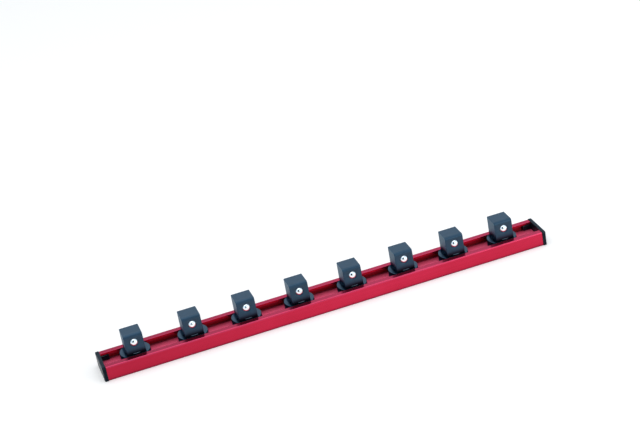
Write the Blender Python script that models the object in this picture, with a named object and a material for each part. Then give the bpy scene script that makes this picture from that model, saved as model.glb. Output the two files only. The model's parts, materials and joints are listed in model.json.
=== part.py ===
"""Socket rail: an extruded channel that carries eight sliding clips, each with a half-inch square drive
and a sprung detent ball, closed by a moulded cap at each end.

+X runs along the rail, +Z is up and the balls look along -Y. The origin is at the middle of the rail,
on the surface that it stands on. Sizes are in metres.
"""
import math

import bmesh
import bpy
from mathutils import Matrix

MILLIMETRE = 0.001

# Rail section: two walls with in-turned lips, a floor between them and a foot under each wall
RAIL_LENGTH = 0.3050
RAIL_WIDTH = 0.0235
RAIL_HEIGHT = 0.0100
WALL_THICKNESS = 0.0020
LIP_REACH = 0.0043
LIP_THICKNESS = 0.0015
FLOOR_HEIGHT = 0.0044
FLOOR_THICKNESS = 0.0018
FOOT_WIDTH = 0.0040
RAIL_ROUND = 0.0008

# Play between pieces
SEAT_GAP = 0.0003
FOOT_PLAY = 0.0004
BALL_PLAY = 0.0001
BORE_PLAY = 0.00015

# End caps: a plate over the rail's end, and two prongs under the lips
CAP_THICKNESS = 0.0022
CAP_PROUD = 0.0004
CAP_CORNER_ROUND = 0.0012
CAP_EDGE_ROUND = 0.0005
PRONG_LENGTH = 0.0057
PRONG_THICKNESS = 0.0025

# Clips: a foot under the lips, a guide between them, and a disc and a square drive on the guide.
# Their round ends, seen from above, reach a little past the channel's half width.
STATION_SHARES = (-0.428, -0.300, -0.179, -0.059, 0.063, 0.183, 0.302, 0.419)
CLIP_END_REACH = 0.0004
GUIDE_DROP = 0.0001
DISC_HEIGHT = 0.0011
DISC_MARGIN = 0.0003
DRIVE_SQUARE = 0.0127
DRIVE_HEIGHT = 0.0133
DRIVE_SINK = 0.0001
DRIVE_EDGE_ROUND = 0.0005
DRIVE_FRONT_ROUND = 0.0020

# Detent: a ball behind a narrowed mouth in the drive's front, and a spring in the blind bore behind it
BALL_DIAMETER = 0.0060
BALL_STANDOUT = 0.0014
BALL_BELOW_TOP = 0.0059
RECESS_DEPTH = 0.0003
RECESS_RING = 0.0005
BORE_BACK_WALL = 0.0020
SPRING_WIRE = 0.0005
SPRING_TURNS = 5

# Fineness of the round shapes
CUT_OVERRUN = 0.0010
MERGE_DISTANCE = 0.000001
ROUND_STEPS = 3
GUIDE_ARC_STEPS = 8
FOOT_ARC_STEPS = 2
DISC_STEPS = 28
BORE_STEPS = 18
BALL_STEPS = 14
BALL_RINGS = 8
TURN_STEPS = 8
SMOOTH_ANGLE = math.radians(35)
FLAT_ANGLE = math.radians(0.1)

# Colours as red, green and blue, with the surface's roughness and metallic value
RAIL_FINISH = ((0.55, 0.030, 0.068), 0.30, 0.90)
MOULDING_FINISH = ((0.018, 0.020, 0.026), 0.38, 0.00)
BALL_FINISH = ((0.86, 0.87, 0.89), 0.08, 1.00)
SPRING_FINISH = ((0.52, 0.52, 0.50), 0.30, 1.00)

# Places that follow from the sizes above
half_width = RAIL_WIDTH / 2
slot_half = half_width - LIP_REACH
channel_half = half_width - WALL_THICKNESS
lip_underside = RAIL_HEIGHT - LIP_THICKNESS
foot_bottom = FLOOR_HEIGHT + SEAT_GAP
foot_top = lip_underside - SEAT_GAP
guide_half = slot_half - SEAT_GAP
clip_radius = channel_half + CLIP_END_REACH
guide_top = RAIL_HEIGHT - GUIDE_DROP
disc_top = guide_top + DISC_HEIGHT
drive_bottom = guide_top - DRIVE_SINK
drive_top = disc_top + DRIVE_HEIGHT
drive_half = DRIVE_SQUARE / 2
ball_radius = BALL_DIAMETER / 2
ball_depth = ball_radius - BALL_STANDOUT
ball_y = ball_depth - drive_half
ball_z = drive_top - BALL_BELOW_TOP
bore_radius = ball_radius + BORE_PLAY
bore_depth = DRIVE_SQUARE - BORE_BACK_WALL
mouth_radius = math.sqrt((ball_radius + BALL_PLAY) ** 2 - (ball_depth - RECESS_DEPTH) ** 2)


def clear_scene():
    """Removes whatever objects the file opened with."""
    for old in list(bpy.data.objects):
        bpy.data.objects.remove(old, do_unlink=True)


def make_material(name, finish):
    """Principled material with a finish's colour, roughness and metallic value."""
    color, roughness, metallic = finish
    made = bpy.data.materials.new(name)
    made.use_nodes = True
    inputs = made.node_tree.nodes["Principled BSDF"].inputs
    inputs["Base Color"].default_value = (*color, 1.0)
    inputs["Roughness"].default_value = roughness
    inputs["Metallic"].default_value = metallic
    made.diffuse_color = (*color, 1.0)
    return made


def add_object(name, data, parent, location=(0.0, 0.0, 0.0)):
    """Object at a place under its parent."""
    made = bpy.data.objects.new(name, data)
    bpy.context.scene.collection.objects.link(made)
    made.parent = parent
    made.location = location
    return made


def add_empty(name):
    """Empty at the origin that carries an assembly."""
    made = add_object(name, None, None)
    made.empty_display_size = RAIL_WIDTH
    return made


def finished_mesh(bm, name):
    """Mesh of the shape in bm, with its faces pointing out."""
    bmesh.ops.remove_doubles(bm, verts=bm.verts, dist=MERGE_DISTANCE)
    bmesh.ops.recalc_face_normals(bm, faces=bm.faces)
    mesh = bpy.data.meshes.new(name)
    bm.to_mesh(mesh)
    bm.free()
    return mesh


def set_smooth(mesh, material):
    """Smooth shading over the round stretches, sharp at the edges."""
    mesh.shade_smooth()
    mesh.set_sharp_from_angle(angle=SMOOTH_ANGLE)
    mesh.materials.clear()
    mesh.materials.append(material)
    return mesh


def arc(centre, radius, start, end, steps):
    """Points of an arc about a centre, from one angle to another in radians."""
    angles = [start + (end - start) * step / steps for step in range(steps + 1)]
    return [(centre[0] + radius * math.cos(a), centre[1] + radius * math.sin(a)) for a in angles]


def prism(outline, low, high, turn=Matrix.Identity(3)):
    """Shape of a flat outline swept up from low to high along its own Z, then turned."""
    bm = bmesh.new()
    ring = [bm.verts.new((u, v, low)) for u, v in outline]
    face = bm.faces.new(ring)
    swept = bmesh.ops.extrude_face_region(bm, geom=[face])
    moved = [item for item in swept["geom"] if isinstance(item, bmesh.types.BMVert)]
    bmesh.ops.translate(bm, verts=moved, vec=(0, 0, high - low))
    bmesh.ops.rotate(bm, verts=bm.verts, matrix=turn)
    return bm


def along_x():
    """Turn that lays an outline's width along Y, its height along Z and its sweep along X."""
    return Matrix(((0, 0, 1), (1, 0, 0), (0, 1, 0)))


def turned(profile, steps, centre):
    """Shape turned about an axis along Y through centre, from points of radius and place along +Y."""
    bm = bmesh.new()
    rings = []
    for radius, along in profile:
        around = arc((centre[0], centre[2]), radius, 0.0, math.tau, steps)[:-1]
        rings.append([bm.verts.new((x, centre[1] + along, z)) for x, z in around])
    for near, far in zip(rings, rings[1:]):
        for step in range(steps):
            after = (step + 1) % steps
            bm.faces.new((near[step], near[after], far[after], far[step]))
    bm.faces.new(rings[0])
    bm.faces.new(rings[-1])
    return bm


def combined(name, base, others):
    """Mesh of a base shape after the unions and cuts in others, each a pair of operation and shape."""
    work = add_object(name, finished_mesh(base, name), None)
    helpers = []
    for number, (operation, shape) in enumerate(others):
        helper_name = f"{name}_helper_{number}"
        helper = add_object(helper_name, finished_mesh(shape, helper_name), None)
        helper.hide_render = True
        helper.display_type = "WIRE"
        step = work.modifiers.new(helper_name, "BOOLEAN")
        step.operation = operation
        step.solver = "MANIFOLD"
        step.object = helper
        helpers.append(helper)
    shape = bmesh.new()
    shape.from_mesh(work.evaluated_get(bpy.context.evaluated_depsgraph_get()).to_mesh())
    for spent in [work, *helpers]:
        bpy.data.objects.remove(spent, do_unlink=True)
    bmesh.ops.dissolve_limit(shape, angle_limit=FLAT_ANGLE, verts=shape.verts, edges=shape.edges)
    return finished_mesh(shape, name)


def rounded_block_outline(half, height, radius):
    """Outline of a plate on the ground: square corners below, round ones above."""
    right = arc((half - radius, height - radius), radius, 0.0, math.pi / 2, ROUND_STEPS)
    left = [(-y, z) for y, z in reversed(right)]
    return [(-half, 0.0), (half, 0.0), *right, *left]


def rail_outline():
    """Section of the rail, as the right half from the underside round to the floor, then its mirror."""
    foot_edge = half_width - FOOT_WIDTH
    web_underside = FLOOR_HEIGHT - FLOOR_THICKNESS
    right = [(foot_edge, web_underside), (foot_edge, 0.0), (half_width, 0.0)]
    right += arc((half_width - RAIL_ROUND, RAIL_HEIGHT - RAIL_ROUND), RAIL_ROUND, 0.0, math.pi / 2,
                 ROUND_STEPS)
    right += [(slot_half, RAIL_HEIGHT), (slot_half, lip_underside), (channel_half, lip_underside),
              (channel_half, FLOOR_HEIGHT)]
    left = [(-y, z) for y, z in reversed(right)]
    return right + left


def rail_mesh(material):
    """Extruded channel, centred along X."""
    bm = prism(rail_outline(), -RAIL_LENGTH / 2, RAIL_LENGTH / 2, along_x())
    return set_smooth(finished_mesh(bm, "rail_extrusion"), material)


def cap_plate(inner, outer):
    """Cap's plate between two places along X, with the edge of its outer face rounded."""
    low, high = min(inner, outer), max(inner, outer)
    outline = rounded_block_outline(half_width + CAP_PROUD, RAIL_HEIGHT + CAP_PROUD, CAP_CORNER_ROUND)
    bm = prism(outline, low, high, along_x())
    rim = [edge for edge in bm.edges
           if all(abs(vert.co.x - outer) < MERGE_DISTANCE for vert in edge.verts)]
    bmesh.ops.bevel(bm, geom=rim, offset=CAP_EDGE_ROUND, segments=ROUND_STEPS, profile=0.5, affect="EDGES")
    return bm


def cap_mesh(side, material):
    """End cap at the rail's end on one side: -1 on the left, 1 on the right."""
    rail_end = side * RAIL_LENGTH / 2
    inner = rail_end + side * SEAT_GAP
    outer = inner + side * CAP_THICKNESS
    prong_tip = rail_end - side * PRONG_LENGTH
    prong_root = (inner + outer) / 2
    prong_outside = channel_half - SEAT_GAP
    prong_inside = prong_outside - PRONG_THICKNESS
    prongs = []
    for hand in (-1, 1):
        near, far = sorted((hand * prong_inside, hand * prong_outside))
        outline = [(near, foot_bottom), (far, foot_bottom), (far, foot_top), (near, foot_top)]
        low, high = sorted((prong_tip, prong_root))
        prongs.append(("UNION", prism(outline, low, high, along_x())))
    return set_smooth(combined("end_cap", cap_plate(inner, outer), prongs), material)


def clip_outline(foot_half):
    """Round outline cut straight at both sides of the foot, with corners where the guide's sides begin."""
    foot_angle = math.asin(foot_half / clip_radius)
    guide_angle = math.asin(guide_half / clip_radius)
    middle = (0.0, 0.0)
    right = arc(middle, clip_radius, -foot_angle, -guide_angle, FOOT_ARC_STEPS)
    right += arc(middle, clip_radius, -guide_angle, guide_angle, GUIDE_ARC_STEPS)[1:]
    right += arc(middle, clip_radius, guide_angle, foot_angle, FOOT_ARC_STEPS)[1:]
    left = [(-x, -y) for x, y in right]
    return right + left


def clip_base():
    """Clip's foot under the lips, with the narrower guide drawn up from it between the lips."""
    bm = prism(clip_outline(channel_half - FOOT_PLAY), foot_bottom, foot_top)
    bmesh.ops.remove_doubles(bm, verts=bm.verts, dist=MERGE_DISTANCE)
    for y in (-guide_half, guide_half):
        corners = [vert for vert in bm.verts
                   if abs(vert.co.y - y) < MERGE_DISTANCE and abs(vert.co.z - foot_top) < MERGE_DISTANCE]
        bmesh.ops.connect_verts(bm, verts=corners)
    raised = [face for face in bm.faces
              if face.calc_center_median().z > foot_top - MERGE_DISTANCE
              and max(abs(vert.co.y) for vert in face.verts) < guide_half + MERGE_DISTANCE]
    swept = bmesh.ops.extrude_face_region(bm, geom=raised)
    moved = [item for item in swept["geom"] if isinstance(item, bmesh.types.BMVert)]
    bmesh.ops.translate(bm, verts=moved, vec=(0, 0, guide_top - foot_top))
    bmesh.ops.delete(bm, geom=raised, context="FACES_ONLY")
    return bm


def drive_block():
    """Square drive with eased edges and a larger round along the top of the ball's face."""
    low, high = drive_bottom, drive_top
    square = [(-drive_half, -drive_half), (drive_half, -drive_half),
              (drive_half, drive_half), (-drive_half, drive_half)]
    bm = prism(square, low, high)
    block = add_object("drive_block", finished_mesh(bm, "drive_block"), None)
    largest = max(DRIVE_FRONT_ROUND, DRIVE_EDGE_ROUND)
    weights = block.data.attributes.new("bevel_weight_edge", "FLOAT", "EDGE")
    for edge in block.data.edges:
        ends = [block.data.vertices[index].co for index in edge.vertices]
        if all(end.z < low + MERGE_DISTANCE for end in ends):
            size = 0.0
        elif all(end.z > high - MERGE_DISTANCE and end.y < 0 for end in ends):
            size = DRIVE_FRONT_ROUND
        else:
            size = DRIVE_EDGE_ROUND
        weights.data[edge.index].value = size / largest
    rounding = block.modifiers.new("rounding", "BEVEL")
    rounding.limit_method = "WEIGHT"
    rounding.width = largest
    rounding.segments = ROUND_STEPS
    ready = block.evaluated_get(bpy.context.evaluated_depsgraph_get())
    shape = bmesh.new()
    shape.from_mesh(ready.to_mesh())
    bpy.data.objects.remove(block, do_unlink=True)
    return shape


def bore_cutter():
    """Cut of the detent's bore: a shallow recess, a narrowed mouth and a blind bore to the back wall."""
    recess_radius = mouth_radius + RECESS_RING
    full_bore = RECESS_DEPTH + bore_radius - mouth_radius
    profile = [(recess_radius, -CUT_OVERRUN), (recess_radius, 0.0), (mouth_radius, RECESS_DEPTH),
               (bore_radius, full_bore), (bore_radius, bore_depth)]
    return turned(profile, BORE_STEPS, (0.0, -drive_half, ball_z))


def clip_mesh(material):
    """One moulding at x = 0: foot, guide, disc and drive, with the detent's bore cut from the front."""
    disc_circle = arc((0.0, 0.0), guide_half - DISC_MARGIN, 0.0, math.tau, DISC_STEPS)[:-1]
    disc = prism(disc_circle, (foot_top + guide_top) / 2, disc_top)
    steps = [("UNION", disc), ("UNION", drive_block()), ("DIFFERENCE", bore_cutter())]
    return set_smooth(combined("socket_clip", clip_base(), steps), material)


def ball_mesh(material):
    """Detent ball about its own centre, with its poles along Y."""
    bm = bmesh.new()
    bmesh.ops.create_uvsphere(bm, u_segments=BALL_STEPS, v_segments=BALL_RINGS, radius=ball_radius)
    bmesh.ops.rotate(bm, verts=bm.verts, matrix=Matrix.Rotation(math.pi / 2, 3, "X"))
    return set_smooth(finished_mesh(bm, "detent_ball"), material)


def spring_points():
    """Helix along Y between the ball's back and the bore's blind end, about the ball's centre."""
    wire_radius = SPRING_WIRE / 2
    coil_radius = bore_radius - SEAT_GAP - wire_radius
    reach = ball_radius + SEAT_GAP + wire_radius
    start = math.sqrt(reach ** 2 - coil_radius ** 2)
    end = bore_depth - ball_depth - SEAT_GAP - wire_radius
    count = SPRING_TURNS * TURN_STEPS
    points = []
    for step in range(count + 1):
        angle = math.tau * step / TURN_STEPS
        along = start + (end - start) * step / count
        points.append((coil_radius * math.cos(angle), along, coil_radius * math.sin(angle)))
    return points


def least_gap(points):
    """Least clear distance between stretches of wire that lie half a turn or more apart."""
    apart = TURN_STEPS // 2
    pairs = [(a, b) for index, a in enumerate(points) for b in points[index + apart:]]
    return min(math.dist(a, b) for a, b in pairs) - SPRING_WIRE


def spring_curve(material):
    """Compression spring as one unbroken tube, about the ball's centre."""
    points = spring_points()
    curve = bpy.data.curves.new("detent_spring", "CURVE")
    curve.dimensions = "3D"
    curve.bevel_depth = SPRING_WIRE / 2
    curve.bevel_resolution = 1
    curve.use_fill_caps = True
    spline = curve.splines.new("POLY")
    spline.points.add(len(points) - 1)
    for place, point in zip(spline.points, points):
        place.co = (*point, 1.0)
    curve.materials.append(material)
    print(f"detent spring: least gap to itself {least_gap(points) / MILLIMETRE:.2f} mm")
    return curve


def build():
    """Whole rail: the fixed channel and caps, then each clip with its ball and spring."""
    clear_scene()
    red = make_material("anodised_rail", RAIL_FINISH)
    black = make_material("black_moulding", MOULDING_FINISH)
    bright = make_material("bright_ball", BALL_FINISH)
    steel = make_material("spring_steel", SPRING_FINISH)

    rail = add_empty("socket_rail")
    add_object("rail_extrusion", rail_mesh(red), rail)
    add_object("end_cap_left", cap_mesh(-1, black), rail)
    add_object("end_cap_right", cap_mesh(1, black), rail)

    clip, ball, spring = clip_mesh(black), ball_mesh(bright), spring_curve(steel)
    for number, share in enumerate(STATION_SHARES, start=1):
        carrier = add_object(f"socket_clip_{number}", clip, rail, (share * RAIL_LENGTH, 0.0, 0.0))
        add_object(f"detent_ball_{number}", ball, carrier, (0.0, ball_y, ball_z))
        add_object(f"detent_spring_{number}", spring, carrier, (0.0, ball_y, ball_z))


build()
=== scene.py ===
"""Looks of the socket rail: a red anodised channel, black moulded caps and clips, bright detent
balls and their springs, on a pale floor in soft studio light, with a dark card that the balls show.

Sizes are in metres in the part's own frame: +X along the rail, +Z up, and the balls look along -Y.
"""
import json
import math

import bmesh
import bpy
import numpy as np
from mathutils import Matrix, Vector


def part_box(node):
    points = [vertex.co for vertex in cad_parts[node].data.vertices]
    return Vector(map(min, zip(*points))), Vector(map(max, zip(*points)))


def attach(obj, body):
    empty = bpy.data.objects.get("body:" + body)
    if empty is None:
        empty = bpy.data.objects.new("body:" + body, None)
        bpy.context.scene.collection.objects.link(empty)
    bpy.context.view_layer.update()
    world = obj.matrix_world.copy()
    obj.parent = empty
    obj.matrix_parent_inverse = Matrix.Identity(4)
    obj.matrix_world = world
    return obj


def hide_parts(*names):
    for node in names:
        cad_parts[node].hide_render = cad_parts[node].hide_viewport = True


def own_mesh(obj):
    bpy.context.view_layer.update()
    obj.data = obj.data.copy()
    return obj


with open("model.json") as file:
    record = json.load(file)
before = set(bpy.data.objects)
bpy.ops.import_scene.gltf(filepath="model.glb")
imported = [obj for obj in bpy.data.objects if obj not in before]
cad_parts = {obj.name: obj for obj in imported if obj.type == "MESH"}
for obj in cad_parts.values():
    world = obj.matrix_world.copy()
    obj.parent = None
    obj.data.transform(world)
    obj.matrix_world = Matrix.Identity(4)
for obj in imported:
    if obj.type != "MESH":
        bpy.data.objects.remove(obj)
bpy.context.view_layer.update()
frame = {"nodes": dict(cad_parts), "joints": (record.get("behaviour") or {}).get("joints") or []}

MM = 0.001

# Rail section, as the frame's rail has it, and the radii of its edges
LIP_REACH = 4.3 * MM
LIP_THICKNESS = 1.5 * MM
WALL_THICKNESS = 2.0 * MM
FLOOR_HEIGHT = 4.4 * MM
FLOOR_THICKNESS = 1.8 * MM
FOOT_WIDTH = 4.0 * MM
SHOULDER_ROUND = 0.8 * MM
LIP_EDGE_ROUND = 0.22 * MM
FOOT_EDGE_ROUND = 0.5 * MM
INSIDE_ROUND = 0.35 * MM
SAW_CUT_ROUND = 0.12 * MM

# End caps
CAP_CORNER_ROUND = 1.2 * MM
CAP_FOOT_ROUND = 0.35 * MM
CAP_FACE_ROUND = 0.6 * MM
CAP_BACK_ROUND = 0.15 * MM
CAP_SEAT_GAP = 0.06 * MM
CAP_PLATE = 2.2 * MM
PRONG_ROUND = 0.3 * MM
PRONG_THICKNESS = 2.5 * MM

# Clips
SEAT_GAP = 0.3 * MM
FOOT_CORNER_ROUND = 0.6 * MM
FOOT_FACE_ROUND = 0.3 * MM
GUIDE_CORNER_ROUND = 0.5 * MM
GUIDE_FACE_ROUND = 0.35 * MM
GUIDE_TUCK = 0.1 * MM
GUIDE_DROP = 0.1 * MM
DISC_HEIGHT = 1.1 * MM
DISC_MARGIN = 0.3 * MM
DISC_ROUND = 0.25 * MM
DRIVE_SQUARE = 12.7 * MM
DRIVE_SINK = 0.1 * MM
DRIVE_CORNER_ROUND = 0.45 * MM
DRIVE_EDGE_ROUND = 0.45 * MM
DRIVE_FRONT_ROUND = 2.0 * MM
DRIVE_FOOT_ROUND = 0.15 * MM

# Detent
BALL_PLAY = 0.1 * MM
BORE_PLAY = 0.15 * MM
RECESS_DEPTH = 0.3 * MM
RECESS_RING = 0.5 * MM
BORE_BACK_WALL = 2.0 * MM
SPRING_WIRE = 0.5 * MM
SPRING_TURNS = 6
SPRING_END_TURNS = 1
SPRING_PLAY = 0.02 * MM

# Fineness of the surfaces: how far a flat is held past a round, and the steps of rounds and circles
HOLD = 0.04 * MM
ARC_STEPS = 7
LONG_ARC_STEPS = 22
ROUND_STEPS = 8
SMALL_ROUND_STEPS = 3
DRIVE_SIDE_RINGS = 9
DISC_SIDES = 72
BORE_SIDES = 64
BALL_RINGS = 32
BALL_SIDES = 56
SPRING_TURN_STEPS = 28
WIRE_SIDES = 12
SMOOTH_ANGLE = math.radians(32)
FULL_TURN_ANGLE = math.radians(9)

# Camera, with its lens and its sensor in millimetres
CAMERA_PLACE = (-225.71 * MM, -971.48 * MM, 553.28 * MM)
CAMERA_TURN = (math.radians(63.6021), math.radians(9.5514), math.radians(-18.1677))
CAMERA_LENS = 96.608
CAMERA_SENSOR = 36.0

# Surroundings: their light on the object, and the cooler sheet of light that metal and gloss show
WORLD_LIGHT = 0.55
WORLD_SHINE = 1.08
LIGHT_COLOUR = (0.93, 0.97, 1.0, 1.0)
SHINE_COLOUR = (0.67, 0.86, 1.0, 1.0)

# Lamps: place, width and power
KEY_LAMP = ((-0.1, 0.1, 1.2), 1.7, 6.5)
FILL_LAMP = ((0.55, -0.65, 0.35), 0.6, 1.8)

# Floor, and the dark card that stands on it in front of the rail
FLOOR_REACH = 3.0
CARD_LEFT = -1.0
CARD_RIGHT = -0.1
CARD_Y = -1.1
CARD_HEIGHT = 1.3

# Colours of the rail, among them painted shade, painted light and a painted edge highlight
RED_DARK = (0.53, 0.012, 0.047)
RED_PALE = (0.59, 0.016, 0.061)
# Painted shade towards the left end
RED_LEFT_END_SHADE = (0.42, 0.008, 0.036)
# Painted shade inside the channel under the lips, low and high
RED_INSIDE_SHADE_LOW = (0.155, 0.002, 0.007)
RED_INSIDE_SHADE_HIGH = (0.240, 0.034, 0.058)
# Painted light on the channel's floor
RED_FLOOR_LIGHT = (0.96, 0.110, 0.220)
# Edge wear, partly a painted highlight
RED_EDGE_WEAR_AND_HIGHLIGHT = (0.66, 0.06, 0.14)
# Painted shade along the foot, by the ground
RED_GROUND_SHADE = (0.20, 0.006, 0.035)
RED_GLOSS = (1.0, 0.70, 0.85)

# Colours of the black mouldings, some painted light and shade, and the cool tint of their gloss
CAP_TONE = (0.005, 0.008, 0.012)
# Painted highlight on the caps' edges
CAP_EDGE_HIGHLIGHT = (0.120, 0.130, 0.145)
CLIP_TONE = (0.005, 0.011, 0.027)
CLIP_WORN = (0.008, 0.017, 0.035)
# Painted light on the drives' sides
CLIP_SIDE_LIGHT = (0.016, 0.070, 0.118)
# Painted highlight on the disc's rim
CLIP_RIM_HIGHLIGHT = (0.06, 0.08, 0.10)
# Painted shade, dead black
CLIP_UNLIT = (0.0008, 0.0012, 0.0025)
SHEEN_TINT = (0.34, 0.63, 0.88)

# Colours of the metal, of the floor with its glow, and of the card
STEEL_DULL = (0.80, 0.81, 0.83)
STEEL_BRIGHT = (0.93, 0.93, 0.94)
WIRE_BLUE = (0.34, 0.35, 0.38)
WIRE_WARM = (0.58, 0.57, 0.54)
PAPER_DARK = (0.90, 0.90, 0.90)
PAPER_PALE = (0.93, 0.93, 0.93)
PAPER_GLOW = (0.28, 0.28, 0.28)
NO_GLOW = (0.0, 0.0, 0.0)
CARD_BLACK = (0.01, 0.01, 0.01)

# Where the rail's paint changes, each from the start of the change to its end: past the channel's
# walls, over the lips' underside and over the floor, then the edge of the painted floor light from
# the middle plane, and two heights from the ground, of the painted shade inside and at the foot
WALL_ZONE = (0.1 * MM, 0.6 * MM)
LIP_ZONE = (0.0 * MM, 0.4 * MM)
FLOOR_ZONE = (0.1 * MM, 0.3 * MM)
FLOOR_LIGHT_ZONE = (7.5 * MM, 9.75 * MM)
INSIDE_ZONE = (5.6 * MM, 7.8 * MM)
GROUND_ZONE = (0.5 * MM, 1.8 * MM)

# Where the clips' painted light and shade change: from the guide's top, from the disc's top, to the
# right and to the left of the clip's middle, and past the drive's front and back
BASE_RISE = (-0.25 * MM, -0.05 * MM)
SIDE_LIGHT_RISE = (2.0 * MM, 6.0 * MM)
FOOT_RISE = (-0.5 * MM, 3.0 * MM)
SIDE_FOOT_RISE = (1.5 * MM, 4.5 * MM)
RIM_RISE = (-0.4 * MM, -0.2 * MM)
FOOT_RIGHT = (6.4 * MM, 7.0 * MM)
FOOT_LEFT = (6.9 * MM, 8.2 * MM)
RIM_PAST = (0.06 * MM, 0.14 * MM)

# Size of the normal's X at which a face starts to count as one that looks along the rail, and at
# which it counts in full
SIDE_FACING = (0.6, 0.9)

# Strengths of the painted shade at the foot before and beside a drive, of the metal in that
# painted dead black, and of the flow marks in the mouldings
FOOT_SHADE = 0.9
SIDE_FOOT_SHADE = 0.8
UNLIT_METAL = 0.9
FLOW_CONTRAST = 0.25

# Sockets of a Mix node that mixes colours: its factor, its two colours and its result
MIX_FACTOR, MIX_FIRST, MIX_SECOND, MIX_RESULT = 0, 6, 7, 2

rail_low, rail_high = (np.array(corner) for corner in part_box("rail_extrusion"))
half_width = rail_high[1]
rail_height = rail_high[2]
slot_half = half_width - LIP_REACH
channel_half = half_width - WALL_THICKNESS
lip_underside = rail_height - LIP_THICKNESS
foot_bottom = FLOOR_HEIGHT + SEAT_GAP
foot_top = lip_underside - SEAT_GAP
guide_half = slot_half - SEAT_GAP
guide_top = rail_height - GUIDE_DROP
disc_top = guide_top + DISC_HEIGHT
drive_half = DRIVE_SQUARE / 2

# Numbers of the clips, which are also those of their balls and springs
numbers = range(1, 1 + sum(name.startswith("socket_clip_") for name in frame["nodes"]))


# Surfaces

def arc_chain(arcs):
    """Closed outline made of arcs, counter-clockwise, with straight stretches between them.

    An arc is its centre, its radius and its first and last angle. Its point at an angle is the
    centre plus the radius times the direction of the angle, which is also the outward normal: an
    inside corner has a negative radius. Returns the points and the normals, two arrays of pairs.
    """
    share = np.linspace(0.0, 1.0, ARC_STEPS + 1)
    centre_u, centre_v, radius, start, end = (np.array(column)[:, None] for column in zip(*arcs))
    angle = start + (end - start) * share
    normals = np.stack([np.cos(angle), np.sin(angle)], axis=-1)
    points = np.stack([centre_u, centre_v], axis=-1) + radius[..., None] * normals
    along = np.stack([-normals[..., 1], normals[..., 0]], axis=-1)
    before = points[:, :1] - HOLD * along[:, :1]
    beyond = points[:, -1:] + HOLD * along[:, -1:]
    points = np.concatenate([before, points, beyond], axis=1)
    normals = np.concatenate([normals[:, :1], normals, normals[:, -1:]], axis=1)
    return points.reshape(-1, 2), normals.reshape(-1, 2)


def rounded_outline(corners, radii):
    """Outline of a polygon, counter-clockwise, with an arc at each corner that touches its sides.

    With n1 and n2 the normals of the sides that meet, the arc's centre lies at the corner less the
    radius times (n1 + n2) / (1 + n1.n2), and its angle runs from n1's to n2's. The radius is
    negative at an inside corner.
    """
    corners = np.array(corners, float)
    side = np.roll(corners, -1, axis=0) - corners
    side /= np.linalg.norm(side, axis=1, keepdims=True)
    after = np.stack([side[:, 1], -side[:, 0]], axis=1)
    before = np.roll(after, 1, axis=0)
    cross = before[:, 0] * after[:, 1] - before[:, 1] * after[:, 0]
    cosine = (before * after).sum(axis=1)
    radius = np.array(radii) * np.sign(cross)
    centre = corners - radius[:, None] * (before + after) / (1.0 + cosine)[:, None]
    start = np.arctan2(before[:, 1], before[:, 0])
    end = start + np.arctan2(cross, cosine)
    return arc_chain(list(zip(centre[:, 0], centre[:, 1], radius, start, end)))


def block_outline(low_u, high_u, low_v, high_v, radii):
    """Rectangle with round corners, from its lower left corner round."""
    corners = [(low_u, low_v), (high_u, low_v), (high_u, high_v), (low_u, high_v)]
    return rounded_outline(corners, radii)


def barrel_outline(radius, half, corner):
    """Circle cut straight at both sides, at half from its middle, with its four corners rounded.

    The corner's arc has its centre where a circle and a line, each drawn in by its radius, cross.
    """
    up = half - corner
    across = math.sqrt((radius - corner) ** 2 - up ** 2)
    lean = math.atan2(up, across)
    quarter = math.pi / 2
    ends, corners = [], []
    for turn in (0.0, math.pi):
        hand = math.cos(turn)
        ends.append((0.0, 0.0, radius, turn - lean, turn + lean))
        corners.append((across * hand, up * hand, corner, turn + lean, turn + quarter))
        corners.append((-across * hand, up * hand, corner, turn + quarter, turn + math.pi - lean))
    share = np.linspace(0.0, 1.0, LONG_ARC_STEPS + 1)
    stretches = [ends[0], corners[0], corners[1], ends[1], corners[2], corners[3]]
    angle = np.concatenate([start + (end - start) * share[1:] for _, _, _, start, end in stretches])
    count = len(share) - 1
    centre = np.repeat([stretch[:2] for stretch in stretches], count, axis=0)
    reach = np.repeat([stretch[2] for stretch in stretches], count)
    normals = np.stack([np.cos(angle), np.sin(angle)], axis=1)
    return centre + reach[:, None] * normals, normals


def edge_profile(low, high, low_round, high_round, steps=ROUND_STEPS):
    """Insets and heights up the side of a block whose lower and upper edges are quarter rounds.

    The inset is the radius times (1 - cosine) of the angle and the height is the radius times its
    sine, from each edge's own start, with a point just beyond each end of each round to keep the
    flats flat.
    """
    turn = np.linspace(0.0, math.pi / 2, steps + 1)
    inward, upward = 1.0 - np.cos(turn), np.sin(turn)
    upper = np.stack([high_round * inward, high - high_round + high_round * upward])
    lower = np.stack([low_round * inward, low + low_round - low_round * upward])[:, ::-1]
    under = np.array([[low_round + HOLD], [low]])
    over = np.array([[high_round + HOLD], [high]])
    side = np.array([[0.0, 0.0], [low + low_round + HOLD, high - high_round - HOLD]])
    return np.concatenate([under, lower, side, upper, over], axis=1)


def carried(outline, insets, heights):
    """Rings of an outline carried up by heights, each drawn in along its normals by its inset."""
    points, normals = outline
    rings = points[None] - insets[:, None, None] * normals[None]
    level = np.broadcast_to(heights[:, None, None], rings.shape[:2] + (1,))
    return np.concatenate([rings, level], axis=2)


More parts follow.
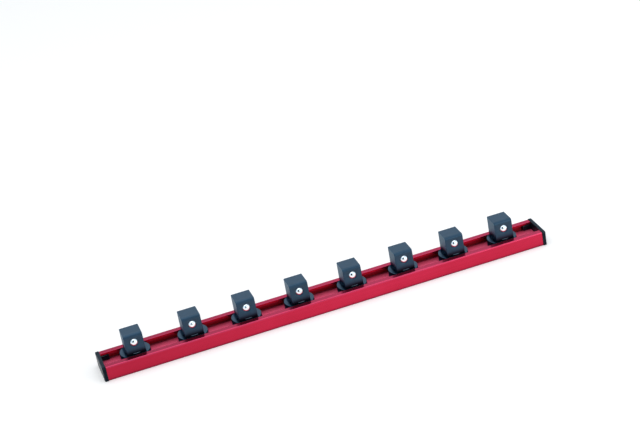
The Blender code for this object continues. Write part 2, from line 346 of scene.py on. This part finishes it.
def skin(rings, first=None, last=None):
    """Closed shell over rings of points that run counter-clockwise about the way they are carried.

    Four neighbours on two rings make a face. Each end is a fan to a given point, or one flat face.
    """
    count, around = rings.shape[:2]
    points = rings.reshape(-1, 3)
    here = np.arange(around)
    after = np.roll(here, -1)
    below = (np.arange(count - 1) * around)[:, None]
    above = below + around
    quads = np.stack([below + here, below + after, above + after, above + here], axis=-1)
    faces = quads.reshape(-1, 4).tolist()
    top = (count - 1) * around
    for start, flip, tip in ((0, True, first), (top, False, last)):
        near, far = (after, here) if flip else (here, after)
        if tip is None:
            ring = here[::-1] if flip else here
            faces.append((start + ring).tolist())
        else:
            middle = np.full(around, len(points))
            points = np.concatenate([points, np.array([tip], float)])
            faces += np.stack([start + near, start + far, middle], axis=-1).tolist()
    return points, faces


def lathe(radii, heights, steps):
    """Shell turned about Z, whose ends meet at the axis.

    The point with radius r, height h and angle a is (r cos a, r sin a, h).
    """
    angle = np.arange(steps) * math.tau / steps
    radii, heights = np.array(radii, float)[:, None], np.array(heights, float)[:, None]
    level = np.broadcast_to(heights, (len(heights), steps))
    rings = np.stack([radii * np.cos(angle), radii * np.sin(angle), level], axis=-1)
    return skin(rings, (0.0, 0.0, heights[0, 0]), (0.0, 0.0, heights[-1, 0]))


def laid_along_x(shell):
    """Shell turned so that its own Z runs along X, its X along Y and its Y along Z."""
    points, faces = shell
    return points[:, [2, 0, 1]], faces


def laid_along_y(shell):
    """Shell turned so that its own Z runs along Y, its X along Z and its Y along X."""
    points, faces = shell
    return points[:, [1, 2, 0]], faces


def moved(shell, place):
    """Shell at another place."""
    points, faces = shell
    return points + np.array(place, float), faces


def half_turned(shell):
    """Shell turned half round about Z."""
    points, faces = shell
    return points * (-1.0, -1.0, 1.0), faces


def gathered(*shells):
    """Several shells as one."""
    points, faces, base = [], [], 0
    for shell_points, shell_faces in shells:
        points.append(shell_points)
        faces += [[base + index for index in face] for face in shell_faces]
        base += len(shell_points)
    return np.concatenate(points), faces


def mesh_of(name, shell):
    """Blender mesh of a shell."""
    points, faces = shell
    mesh = bpy.data.meshes.new(name)
    mesh.from_pydata(points.tolist(), [], faces)
    mesh.update()
    return mesh


def shell_of(mesh):
    """Shell of a Blender mesh."""
    points = np.zeros(len(mesh.vertices) * 3)
    mesh.vertices.foreach_get("co", points)
    return points.reshape(-1, 3), [list(polygon.vertices) for polygon in mesh.polygons]


def cut_from(shell, cutter):
    """Shell with the room of another one taken out of it."""
    body, tool = (bpy.data.objects.new(name, mesh_of(name, part))
                  for name, part in (("cut_body", shell), ("cut_tool", cutter)))
    for item in (body, tool):
        bpy.context.scene.collection.objects.link(item)
    cut = body.modifiers.new("cut", "BOOLEAN")
    cut.operation = "DIFFERENCE"
    cut.object = tool
    left = shell_of(body.evaluated_get(bpy.context.evaluated_depsgraph_get()).to_mesh())
    for item in (body, tool):
        bpy.data.objects.remove(item, do_unlink=True)
    return left


def mark(mesh, name, values):
    """Gives a mesh a point attribute."""
    data = mesh.attributes.new(name, "FLOAT", "POINT").data
    data.foreach_set("value", values.astype(np.float32))


def mark_turning(mesh):
    """Point attribute "turning": how far the skin folds outwards, 0 on flats and 1 on edges.

    It is the largest fold angle of the point's edges over a full one.
    """
    shape = bmesh.new()
    shape.from_mesh(mesh)
    folds = [max((edge.calc_face_angle_signed(0.0) for edge in vert.link_edges), default=0.0)
             for vert in shape.verts]
    shape.free()
    mark(mesh, "turning", np.clip(np.array(folds) / FULL_TURN_ANGLE, 0.0, 1.0))


def mark_beside(mesh, middle):
    """Point attribute "beside": how far a point lies along the rail from its clip's middle."""
    points, _ = shell_of(mesh)
    mark(mesh, "beside", points[:, 0] - middle)


def add_piece(name, shell, finish, body, node):
    """Piece of the object: its place is in its mesh, and it stands for one node of the frame."""
    mesh = mesh_of(name, shell)
    mesh.shade_smooth()
    mesh.set_sharp_from_angle(angle=SMOOTH_ANGLE)
    mark_turning(mesh)
    mesh.materials.append(finish)
    piece = bpy.data.objects.new(name, mesh)
    bpy.context.scene.collection.objects.link(piece)
    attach(piece, body)
    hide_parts(node)
    return piece


# Materials

class Signal:
    """Shader socket that adds, subtracts and multiplies as a number does, one Math node each."""

    def __init__(self, finish, socket):
        self.finish = finish
        self.socket = socket

    def _math(self, operation, first, second):
        return self.finish.node("Math", {"operation": operation}, {0: first, 1: second})

    def __add__(self, other):
        return self._math("ADD", self, other)

    def __radd__(self, other):
        return self._math("ADD", other, self)

    def __sub__(self, other):
        return self._math("SUBTRACT", self, other)

    def __rsub__(self, other):
        return self._math("SUBTRACT", other, self)

    def __mul__(self, other):
        return self._math("MULTIPLY", self, other)

    def __rmul__(self, other):
        return self._math("MULTIPLY", other, self)

    def over(self, low, high):
        """Smooth step from 0 at low to 1 at high."""
        settings = {"interpolation_type": "SMOOTHSTEP"}
        values = {"Value": self, "From Min": low, "From Max": high}
        return self.finish.node("MapRange", settings, values)

    def past(self, edge, zone):
        """Smooth step over a zone whose start and end are measured from an edge."""
        return self.over(edge + zone[0], edge + zone[1])


class Finish:
    """One material, whose Principled shader is painted by signals and by plain values."""

    def __init__(self, name):
        self.material = bpy.data.materials.new(name)
        self.material.use_nodes = True
        self.tree = self.material.node_tree
        self.shader = self.tree.nodes["Principled BSDF"]

    def join(self, socket, value):
        """Links a signal to a socket, or sets a plain value on it."""
        if isinstance(value, Signal):
            self.tree.links.new(value.socket, socket)
        elif socket.type == "RGBA" and len(value) == 3:
            socket.default_value = (*value, 1.0)
        else:
            socket.default_value = value

    def node(self, kind, settings=None, values=None, output=0):
        """Node of a type, with its settings, then the values or links of its sockets."""
        made = self.tree.nodes.new("ShaderNode" + kind)
        for key, value in (settings or {}).items():
            setattr(made, key, value)
        for key, value in (values or {}).items():
            self.join(made.inputs[key], value)
        return Signal(self, made.outputs[output])

    def paint(self, values):
        """Sets the Principled shader's sockets."""
        for key, value in values.items():
            self.join(self.shader.inputs[key], value)
        return self.material

    def place(self, cycles):
        """Object coordinates times a number of cycles to the metre along each axis."""
        place = self.node("TexCoord", output="Object")
        return self.node("VectorMath", {"operation": "MULTIPLY"}, {0: place, 1: cycles})

    def lengths(self):
        """Place along the rail, distance from its middle plane and height over the ground."""
        place = self.node("TexCoord", output="Object")
        along, across, height = (self.node("SeparateXYZ", {}, {"Vector": place}, axis)
                                 for axis in "XYZ")
        return along, self.size_of(across), height

    def grain(self, cycles, detail=2.0):
        """Cloudy noise from 0 to 1, with a number of cycles to the metre along each axis."""
        values = {"Vector": self.place(cycles), "Scale": 1.0, "Detail": detail}
        return self.node("TexNoise", {}, values)

    def marked(self, name):
        """Point attribute of the piece."""
        return self.node("Attribute", {"attribute_name": name}, output="Fac")

    def size_of(self, value):
        """Value without its sign."""
        return self.node("Math", {"operation": "ABSOLUTE"}, {0: value})

    def facing_along(self):
        """1 on faces that look along the rail, either way, and 0 on those that look across it."""
        normal = self.node("TexCoord", output="Normal")
        along = self.node("SeparateXYZ", {}, {"Vector": normal}, "X")
        return self.size_of(along).over(*SIDE_FACING)

    def mixed(self, first, second, factor):
        """Colour between two colours."""
        values = {MIX_FACTOR: factor, MIX_FIRST: first, MIX_SECOND: second}
        return self.node("Mix", {"data_type": "RGBA"}, values, MIX_RESULT)

    def bump(self, height, strength, distance):
        """Normal of a surface raised by a height signal."""
        return self.node("Bump", {}, {"Height": height, "Strength": strength, "Distance": distance})


def anodised_red():
    """Dyed anodic film on extruded aluminium: fine die lines along X under a clear film, edges
    paler with wear and a painted highlight, painted shade under the lips, along the foot and
    towards the left end, and painted light along the channel's floor."""
    finish = Finish("anodised_red")
    die_lines = finish.grain((9.0, 5200.0, 5200.0), 3.0)
    broad_lines = finish.grain((4.0, 900.0, 900.0), 2.0)
    clouds = finish.grain((45.0, 60.0, 60.0), 3.0)
    shade = die_lines * 0.35 + broad_lines * 0.25 + clouds * 0.4
    fresh = finish.mixed(RED_DARK, RED_PALE, shade.over(0.35, 0.65))
    along, across, height = finish.lengths()
    # Painted shade: the film darker towards the left end
    end_shaded = finish.mixed(RED_LEFT_END_SHADE, fresh, 0.2 + along.over(rail_low[0], 0.0) * 0.8)
    # Painted shade under the lips inside the channel, darker lower down
    within = 1.0 - across.past(channel_half, WALL_ZONE)
    below_lip = 1.0 - height.past(lip_underside, LIP_ZONE)
    inside = across.over(slot_half, channel_half) * within * below_lip
    inside_shade = finish.mixed(RED_INSIDE_SHADE_LOW, RED_INSIDE_SHADE_HIGH, height.over(*INSIDE_ZONE))
    inside_shaded = finish.mixed(end_shaded, inside_shade, inside * 0.9)
    # Painted light on the channel's floor, fading out towards the walls
    on_floor = within * (1.0 - height.past(FLOOR_HEIGHT, FLOOR_ZONE))
    floor_light = on_floor * (1.0 - across.over(*FLOOR_LIGHT_ZONE))
    painted_light = finish.mixed(inside_shaded, RED_FLOOR_LIGHT, floor_light * 0.95)
    # Painted shade along the foot, where the rail meets the ground; the edges are not paled there
    off_ground = height.over(*GROUND_ZONE)
    # Edges paled, partly by wear and partly as a painted highlight
    edge = finish.marked("turning").over(0.3, 1.0) * (0.2 + clouds * 0.5) * off_ground
    edge_paled = finish.mixed(painted_light, RED_EDGE_WEAR_AND_HIGHLIGHT, edge)
    return finish.paint({
        "Base Color": finish.mixed(RED_GROUND_SHADE, edge_paled, 0.25 + off_ground * 0.75),
        "Metallic": 0.85 - on_floor * 0.45,
        "Roughness": 0.15 + die_lines * 0.08 + clouds * 0.05 + on_floor * 0.33,
        "Normal": finish.bump(die_lines * 0.7 + broad_lines * 0.3, 0.25, 0.02 * MM),
        "Specular Tint": RED_GLOSS,
        "Coat Weight": 0.15,
        "Coat Roughness": 0.2,
    })


def moulded_skin(finish, tone, edge_tone):
    """Colour, unevenness of the gloss, and normal of moulded black plastic: a fine eroded texture,
    faint flow marks and edges polished by handling, which a pale edge tone turns into a painted
    highlight on the caps."""
    texture = finish.grain((5200.0, 5200.0, 5200.0), 2.0)
    flow = finish.grain((260.0, 320.0, 120.0), 3.0)
    # Paler edges: handling wear, and on the caps a painted highlight
    pale_edges = finish.marked("turning").over(0.35, 1.0) * flow.over(0.35, 0.7)
    dark = tuple((1.0 - FLOW_CONTRAST) * value for value in tone)
    pale = tuple((1.0 + FLOW_CONTRAST) * value for value in tone)
    body = finish.mixed(dark, pale, flow.over(0.3, 0.7))
    colour = finish.mixed(body, edge_tone, pale_edges * 0.5)
    uneven = texture * 0.08 - pale_edges * 0.03
    return colour, uneven, finish.bump(texture * 0.8 + flow * 0.2, 0.22, 0.010 * MM)


def cap_plastic():
    """Black of the end caps, with little gloss, and edges painted paler as a highlight."""
    finish = Finish("cap_plastic")
    colour, uneven, normal = moulded_skin(finish, CAP_TONE, CAP_EDGE_HIGHLIGHT)
    return finish.paint({
        "Base Color": colour,
        "Roughness": 0.34 + uneven,
        "Normal": normal,
        "Specular IOR Level": 0.15,
        "Specular Tint": SHEEN_TINT,
    })


def clip_plastic():
    """Blue-black of the clips: the drives' sides matt, and paler higher up as painted light, a
    painted highlight on the disc's rim, and painted shade, dead black, about the foot of the drives
    and below the guides' tops, where no light gets in. The dead black is a metal's, because a
    plastic would keep its gloss."""
    finish = Finish("clip_plastic")
    colour, uneven, normal = moulded_skin(finish, CLIP_TONE, CLIP_WORN)
    _, across, height = finish.lengths()
    beside = finish.marked("beside")
    on_side = finish.facing_along()
    # Painted light on the drives' sides, higher up, where they are also matt
    painted_light = on_side * height.past(disc_top, SIDE_LIGHT_RISE)
    # Painted shade: dead black below the guides' tops and about the drive's foot, and darker low on
    # the drive's sides
    on_base = height.past(guide_top, BASE_RISE)
    by_drive = 1.0 - beside.over(*FOOT_RIGHT) - (0.0 - beside).over(*FOOT_LEFT)
    at_foot = by_drive * (1.0 - height.past(disc_top, FOOT_RISE))
    side_foot = on_side * (1.0 - height.past(disc_top, SIDE_FOOT_RISE))
    # Painted highlight on the disc's rim, in front of and behind the drive
    rim = across.past(drive_half, RIM_PAST) * height.past(disc_top, RIM_RISE)
    off_foot = 1.0 - at_foot * (1.0 - rim) * FOOT_SHADE
    lit = on_base * off_foot * (1.0 - side_foot * SIDE_FOOT_SHADE)
    paled = finish.mixed(finish.mixed(colour, CLIP_SIDE_LIGHT, painted_light), CLIP_RIM_HIGHLIGHT, rim)
    return finish.paint({
        "Base Color": finish.mixed(CLIP_UNLIT, paled, lit),
        "Metallic": (1.0 - lit) * UNLIT_METAL,
        "Roughness": 0.34 + uneven + painted_light * 0.12,
        "Normal": normal,
        "Specular IOR Level": 1.0,
        "Specular Tint": SHEEN_TINT,
    })


def polished_steel():
    """Polished ball: mirror steel with faint lapping scratches, hazed where a trace of oil lies."""
    finish = Finish("polished_steel")
    scratches = finish.grain((700.0, 2600.0, 9000.0), 3.0)
    film = finish.grain((500.0, 500.0, 500.0), 2.0)
    return finish.paint({
        "Base Color": finish.mixed(STEEL_DULL, STEEL_BRIGHT, film.over(0.3, 0.7)),
        "Metallic": 1.0,
        "Roughness": film.over(0.55, 0.75) * (0.06 + scratches * 0.06),
        "Normal": finish.bump(scratches, 0.08, 0.004 * MM),
    })


def spring_wire():
    """Drawn spring wire: grey steel with fine drawing marks and a slightly blued tone."""
    finish = Finish("spring_wire")
    marks = finish.grain((3800.0, 900.0, 3800.0), 3.0)
    tint = finish.grain((400.0, 400.0, 400.0), 2.0)
    return finish.paint({
        "Base Color": finish.mixed(WIRE_BLUE, WIRE_WARM, tint.over(0.3, 0.7)),
        "Metallic": 1.0,
        "Roughness": 0.24 + marks * 0.16,
        "Normal": finish.bump(marks, 0.2, 0.01 * MM),
    })


def studio_floor():
    """White paper floor that glows to the camera and in reflections, and keeps the shadow."""
    finish = Finish("studio_floor")
    fibre = finish.grain((900.0, 900.0, 900.0), 2.0)
    camera = finish.node("LightPath", output="Is Camera Ray")
    glossy = finish.node("LightPath", output="Is Glossy Ray")
    return finish.paint({
        "Base Color": finish.mixed(PAPER_DARK, PAPER_PALE, fibre),
        "Roughness": 0.9,
        "Specular IOR Level": 0.1,
        "Emission Color": finish.mixed(NO_GLOW, PAPER_GLOW, camera + glossy),
        "Emission Strength": 1.0,
    })


def dark_card():
    """Black card that shows in perfect mirrors alone."""
    finish = Finish("dark_card")
    return finish.paint({
        "Base Color": CARD_BLACK,
        "Roughness": 1.0,
        "Specular IOR Level": 0.0,
        "Alpha": finish.node("LightPath", output="Is Singular Ray"),
    })


# Pieces

def rail_outline():
    """Section of the channel: its right half, from under the web to the floor, and the mirror."""
    foot_edge = half_width - FOOT_WIDTH
    web_underside = FLOOR_HEIGHT - FLOOR_THICKNESS
    right = [
        (foot_edge, web_underside, INSIDE_ROUND), (foot_edge, 0.0, FOOT_EDGE_ROUND),
        (half_width, 0.0, FOOT_EDGE_ROUND), (half_width, rail_height, SHOULDER_ROUND),
        (slot_half, rail_height, LIP_EDGE_ROUND), (slot_half, lip_underside, LIP_EDGE_ROUND),
        (channel_half, lip_underside, INSIDE_ROUND), (channel_half, FLOOR_HEIGHT, INSIDE_ROUND),
    ]
    left = [(-y, z, radius) for y, z, radius in reversed(right)]
    ys, zs, radii = zip(*(right + left))
    return rounded_outline(list(zip(ys, zs)), radii)


def rail_channel():
    """Extruded channel: the section carried along X, with a small break at each sawn end."""
    profile = edge_profile(rail_low[0], rail_high[0], SAW_CUT_ROUND, SAW_CUT_ROUND,
                           SMALL_ROUND_STEPS)
    return laid_along_x(skin(carried(rail_outline(), *profile)))


def end_cap():
    """Right cap: a plate with a rounded face carried along X, and two prongs under the lips."""
    node_low, node_high = (np.array(corner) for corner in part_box("end_cap_right"))
    radii = (CAP_FOOT_ROUND, CAP_FOOT_ROUND, CAP_CORNER_ROUND, CAP_CORNER_ROUND)
    plate = block_outline(node_low[1], node_high[1], node_low[2], node_high[2], radii)
    seat = rail_high[0] + CAP_SEAT_GAP
    profile = edge_profile(seat, node_high[0], CAP_BACK_ROUND, CAP_FACE_ROUND)
    shells = [skin(carried(plate, *profile))]
    outside = channel_half - SEAT_GAP
    inside = outside - PRONG_THICKNESS
    reach = edge_profile(node_low[0], node_high[0] - CAP_PLATE / 2, PRONG_ROUND, PRONG_ROUND)
    for low, high in ((-outside, -inside), (inside, outside)):
        prong = block_outline(low, high, foot_bottom, foot_top, (PRONG_ROUND,) * 4)
        shells.append(skin(carried(prong, *reach)))
    return laid_along_x(gathered(*shells))


def clip_base():
    """Foot and guide, cut circles carried up with rounded edges, and the turned disc on them."""
    node_low, node_high = (np.array(corner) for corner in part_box("socket_clip_1"))
    radius, foot_half = (node_high[0] - node_low[0]) / 2, node_high[1]
    guide_bottom = foot_bottom + SEAT_GAP
    foot = carried(barrel_outline(radius, foot_half, FOOT_CORNER_ROUND),
                   *edge_profile(foot_bottom, foot_top, FOOT_FACE_ROUND, FOOT_FACE_ROUND))
    guide = carried(barrel_outline(radius - GUIDE_TUCK, guide_half, GUIDE_CORNER_ROUND),
                    *edge_profile(guide_bottom, guide_top, FOOT_FACE_ROUND, GUIDE_FACE_ROUND))
    insets, heights = edge_profile(foot_top, disc_top, DISC_ROUND, DISC_ROUND)
    disc = lathe(guide_half - DISC_MARGIN - insets, heights, DISC_SIDES)
    return gathered(skin(foot), skin(guide), disc)


def drive_block(top):
    """Square drive. A ring at height z is a rounded square: its front side is drawn in by the large
    front round's inset at z, the other sides by the small edge round's, and the points between are
    spread evenly in y."""
    radii = (DRIVE_CORNER_ROUND,) * 4
    outline = block_outline(-drive_half, drive_half, -drive_half, drive_half, radii)
    turn = np.linspace(0.0, math.pi / 2, 2 * ROUND_STEPS + 1)
    rise = DRIVE_FRONT_ROUND * np.sin(turn)
    front = DRIVE_FRONT_ROUND * (1.0 - np.cos(turn))
    past = np.clip(rise - DRIVE_FRONT_ROUND + DRIVE_EDGE_ROUND, 0.0, None)
    side = DRIVE_EDGE_ROUND - np.sqrt(DRIVE_EDGE_ROUND ** 2 - past ** 2)
    foot = np.linspace(0.0, math.pi / 2, SMALL_ROUND_STEPS + 1)[::-1]
    low = guide_top - DRIVE_SINK
    foot_inset = DRIVE_FOOT_ROUND * (1.0 - np.cos(foot))
    foot_height = low + DRIVE_FOOT_ROUND * (1.0 - np.sin(foot))
    mid_low, mid_high = low + DRIVE_FOOT_ROUND + HOLD, top - DRIVE_FRONT_ROUND - HOLD
    mid = np.linspace(mid_low, mid_high, DRIVE_SIDE_RINGS)
    heights = np.concatenate([[low], foot_height, mid, top - DRIVE_FRONT_ROUND + rise, [top]])
    below = [[DRIVE_FOOT_ROUND + HOLD], foot_inset, 0.0 * mid]
    sides = np.concatenate([*below, side, [DRIVE_EDGE_ROUND + HOLD]])
    fronts = np.concatenate([*below, front, [DRIVE_FRONT_ROUND + HOLD]])
    rings = carried(outline, sides, heights)
    back = (drive_half - sides)[:, None]
    spread = ((2.0 * drive_half - fronts - sides) / (2.0 * drive_half - 2.0 * sides))[:, None]
    rings[..., 1] = back - (back - rings[..., 1]) * spread
    return skin(rings)


def detent_bore(ball_y, ball_z, ball_radius):
    """Room of the detent, turned about Y: a shallow cone, a narrowed mouth and a blind bore."""
    depth = ball_y + drive_half
    mouth = math.sqrt((ball_radius + BALL_PLAY) ** 2 - (depth - RECESS_DEPTH) ** 2)
    bore = ball_radius + BORE_PLAY
    radii = [mouth + RECESS_RING + RECESS_DEPTH, mouth + RECESS_RING, mouth, bore, bore]
    widened, blind_end = RECESS_DEPTH + bore - mouth, DRIVE_SQUARE - BORE_BACK_WALL
    along = [-RECESS_DEPTH, 0.0, RECESS_DEPTH, widened, blind_end]
    return moved(laid_along_y(lathe(radii, along, BORE_SIDES)), (0.0, -drive_half, ball_z))


def clip_moulding():
    """Whole clip at x = 0: its base and its drive with the detent's bore."""
    _, node_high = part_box("socket_clip_1")
    ball_low, ball_high = (np.array(corner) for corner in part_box("detent_ball_1"))
    _, ball_y, ball_z = (ball_low + ball_high) / 2
    ball_radius = (ball_high[1] - ball_low[1]) / 2
    drive = cut_from(drive_block(node_high[2]), detent_bore(ball_y, ball_z, ball_radius))
    return gathered(clip_base(), drive)


def ball(radius):
    """Ball about the origin, with its poles along Y: a half circle turned."""
    lean = np.linspace(0.0, math.pi, BALL_RINGS + 2)[1:-1]
    points, faces = lathe(radius * np.sin(lean), -radius * np.cos(lean), BALL_SIDES)
    points[-2:, 2] = (-radius, radius)
    return laid_along_y((points, faces))


def coil_spring(ball_radius, low_y, high_y):
    """Compression spring about the Y axis: a round wire along a helix whose end turns lie close.

    At turn t the wire's middle is at angle 2 pi t. Its rise per turn is one wire thickness in the
    end turns and even between them. The wire's own circle is spanned by the outward direction and
    by the cross product of that with the helix's direction.
    """
    wire = SPRING_WIRE / 2
    coil = ball_radius + BORE_PLAY - SEAT_GAP - wire
    turn = np.linspace(0.0, SPRING_TURNS, SPRING_TURNS * SPRING_TURN_STEPS + 1)
    closed = SPRING_WIRE + SPRING_PLAY
    span = high_y - low_y - SPRING_WIRE
    middle_turns = SPRING_TURNS - 2 * SPRING_END_TURNS
    pitch = (span - 2 * SPRING_END_TURNS * closed) / middle_turns
    knots = [0.0, SPRING_END_TURNS, SPRING_TURNS - SPRING_END_TURNS, SPRING_TURNS]
    rise = [0.0, closed * SPRING_END_TURNS, closed * SPRING_END_TURNS + pitch * middle_turns, span]
    along = low_y + wire + np.interp(turn, knots, rise)
    angle = math.tau * turn
    out = np.stack([np.cos(angle), np.zeros_like(angle), -np.sin(angle)], axis=1)
    path = coil * out + np.stack([np.zeros_like(along), along, np.zeros_like(along)], axis=1)
    ahead = np.gradient(path, axis=0)
    ahead /= np.linalg.norm(ahead, axis=1, keepdims=True)
    side = np.cross(ahead, out)
    around = (np.arange(WIRE_SIDES) * math.tau / WIRE_SIDES)[:, None]
    circle = out[:, None] * np.cos(around) + side[:, None] * np.sin(around)
    return skin(path[:, None] + wire * circle, path[0], path[-1])


def add_rail():
    """Channel and caps, which ride on the rail's body."""
    cap_finish = cap_plastic()
    add_piece("red_channel", rail_channel(), anodised_red(),
              "rail", "rail_extrusion")
    right = end_cap()
    add_piece("right_cap_moulding", right, cap_finish, "rail", "end_cap_right")
    left = half_turned(right)
    add_piece("left_cap_moulding", left, cap_finish, "rail", "end_cap_left")


def add_clips():
    """Each clip's moulding and spring on its own body, and its ball on the ball's."""
    moulding, steel, wire = clip_plastic(), polished_steel(), spring_wire()
    clip = clip_moulding()
    for number in numbers:
        low, high = (np.array(corner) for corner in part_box(f"socket_clip_{number}"))
        middle = (low + high)[0] / 2
        piece = add_piece(f"clip_moulding_{number}", moved(clip, (middle, 0.0, 0.0)), moulding,
                          f"clip_{number}", f"socket_clip_{number}")
        mark_beside(piece.data, middle)
        ball_low, ball_high = (np.array(corner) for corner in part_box(f"detent_ball_{number}"))
        ball_middle = (ball_low + ball_high) / 2
        radius = (ball_high[1] - ball_low[1]) / 2
        add_piece(f"polished_ball_{number}", moved(ball(radius), ball_middle), steel,
                  f"ball_{number}", f"detent_ball_{number}")
        add_spring(number, radius, ball_middle, wire)


def add_spring(number, ball_radius, ball_middle, finish):
    """Spring behind a ball, on its clip's body, with a mesh of its own."""
    low, high = (np.array(corner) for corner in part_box(f"detent_spring_{number}"))
    shell = moved(coil_spring(ball_radius, low[1], high[1]), (ball_middle[0], 0.0, ball_middle[2]))
    piece = add_piece(f"coil_spring_{number}", shell, finish, f"clip_{number}",
                      f"detent_spring_{number}")
    travel = next(joint["range_m"][1] for joint in frame["joints"]
                  if joint["name"] == f"ball_{number}_press")
    1.0 - travel / (high[1] - low[1])
    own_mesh(piece)


# Studio

def add_sheet(name, corners, finish):
    """Flat sheet with four corners."""
    sheet = bpy.data.objects.new(name, mesh_of(name, (np.array(corners), [[0, 1, 2, 3]])))
    sheet.data.materials.append(finish)
    bpy.context.scene.collection.objects.link(sheet)
    return sheet


def add_floor():
    """Paper floor, wide enough for any view."""
    low, high = -FLOOR_REACH, FLOOR_REACH
    corners = [(low, low, 0.0), (high, low, 0.0), (high, high, 0.0), (low, high, 0.0)]
    floor = add_sheet("studio_floor", corners, studio_floor())


def add_card():
    """Dark upright card in front of the rail, which gives each ball its dark spot."""
    corners = [(CARD_LEFT, CARD_Y, 0.0), (CARD_RIGHT, CARD_Y, 0.0),
               (CARD_RIGHT, CARD_Y, CARD_HEIGHT), (CARD_LEFT, CARD_Y, CARD_HEIGHT)]
    card = add_sheet("dark_card", corners, dark_card())


def add_lamp(name, place, size, power):
    """Round soft lamp that looks at the middle of the rail."""
    data = bpy.data.lights.new(name, "AREA")
    data.shape = "DISK"
    data.size = size
    data.energy = power
    lamp = bpy.data.objects.new(name, data)
    bpy.context.scene.collection.objects.link(lamp)
    lamp.location = place
    away = lamp.location.normalized()
    lamp.rotation_euler = away.to_track_quat("Z", "Y").to_euler()


def add_light():
    """Even pale surroundings, which light the object less than they show in metal and gloss, where
    they are cooler too, with a broad key lamp overhead and a soft fill in front on the right."""
    world = bpy.data.worlds.new("studio")
    world.use_nodes = True
    nodes, links = world.node_tree.nodes, world.node_tree.links
    background = nodes["Background"]
    path = nodes.new("ShaderNodeLightPath")
    colour = nodes.new("ShaderNodeMix")
    colour.data_type = "RGBA"
    colour.inputs[MIX_FIRST].default_value = LIGHT_COLOUR
    colour.inputs[MIX_SECOND].default_value = SHINE_COLOUR
    links.new(path.outputs["Is Glossy Ray"], colour.inputs[MIX_FACTOR])
    links.new(colour.outputs[MIX_RESULT], background.inputs["Color"])
    seen = nodes.new("ShaderNodeMath")
    seen.operation = "MAXIMUM"
    links.new(path.outputs["Is Camera Ray"], seen.inputs[0])
    links.new(path.outputs["Is Glossy Ray"], seen.inputs[1])
    strength = nodes.new("ShaderNodeMapRange")
    strength.inputs["To Min"].default_value = WORLD_LIGHT
    strength.inputs["To Max"].default_value = WORLD_SHINE
    links.new(seen.outputs[0], strength.inputs["Value"])
    links.new(strength.outputs[0], background.inputs["Strength"])
    bpy.context.scene.world = world
    add_lamp("key_lamp", *KEY_LAMP)
    add_lamp("fill_lamp", *FILL_LAMP)


def add_camera():
    """Camera at the photograph's viewing angle."""
    data = bpy.data.cameras.new("photo_camera")
    data.lens = CAMERA_LENS
    data.sensor_width = CAMERA_SENSOR
    camera = bpy.data.objects.new("photo_camera", data)
    bpy.context.scene.collection.objects.link(camera)
    camera.location = CAMERA_PLACE
    camera.rotation_euler = CAMERA_TURN
    bpy.context.scene.camera = camera


add_rail()
add_clips()
add_floor()
add_card()
add_light()
add_camera()
bpy.context.scene.view_settings.view_transform = "Standard"
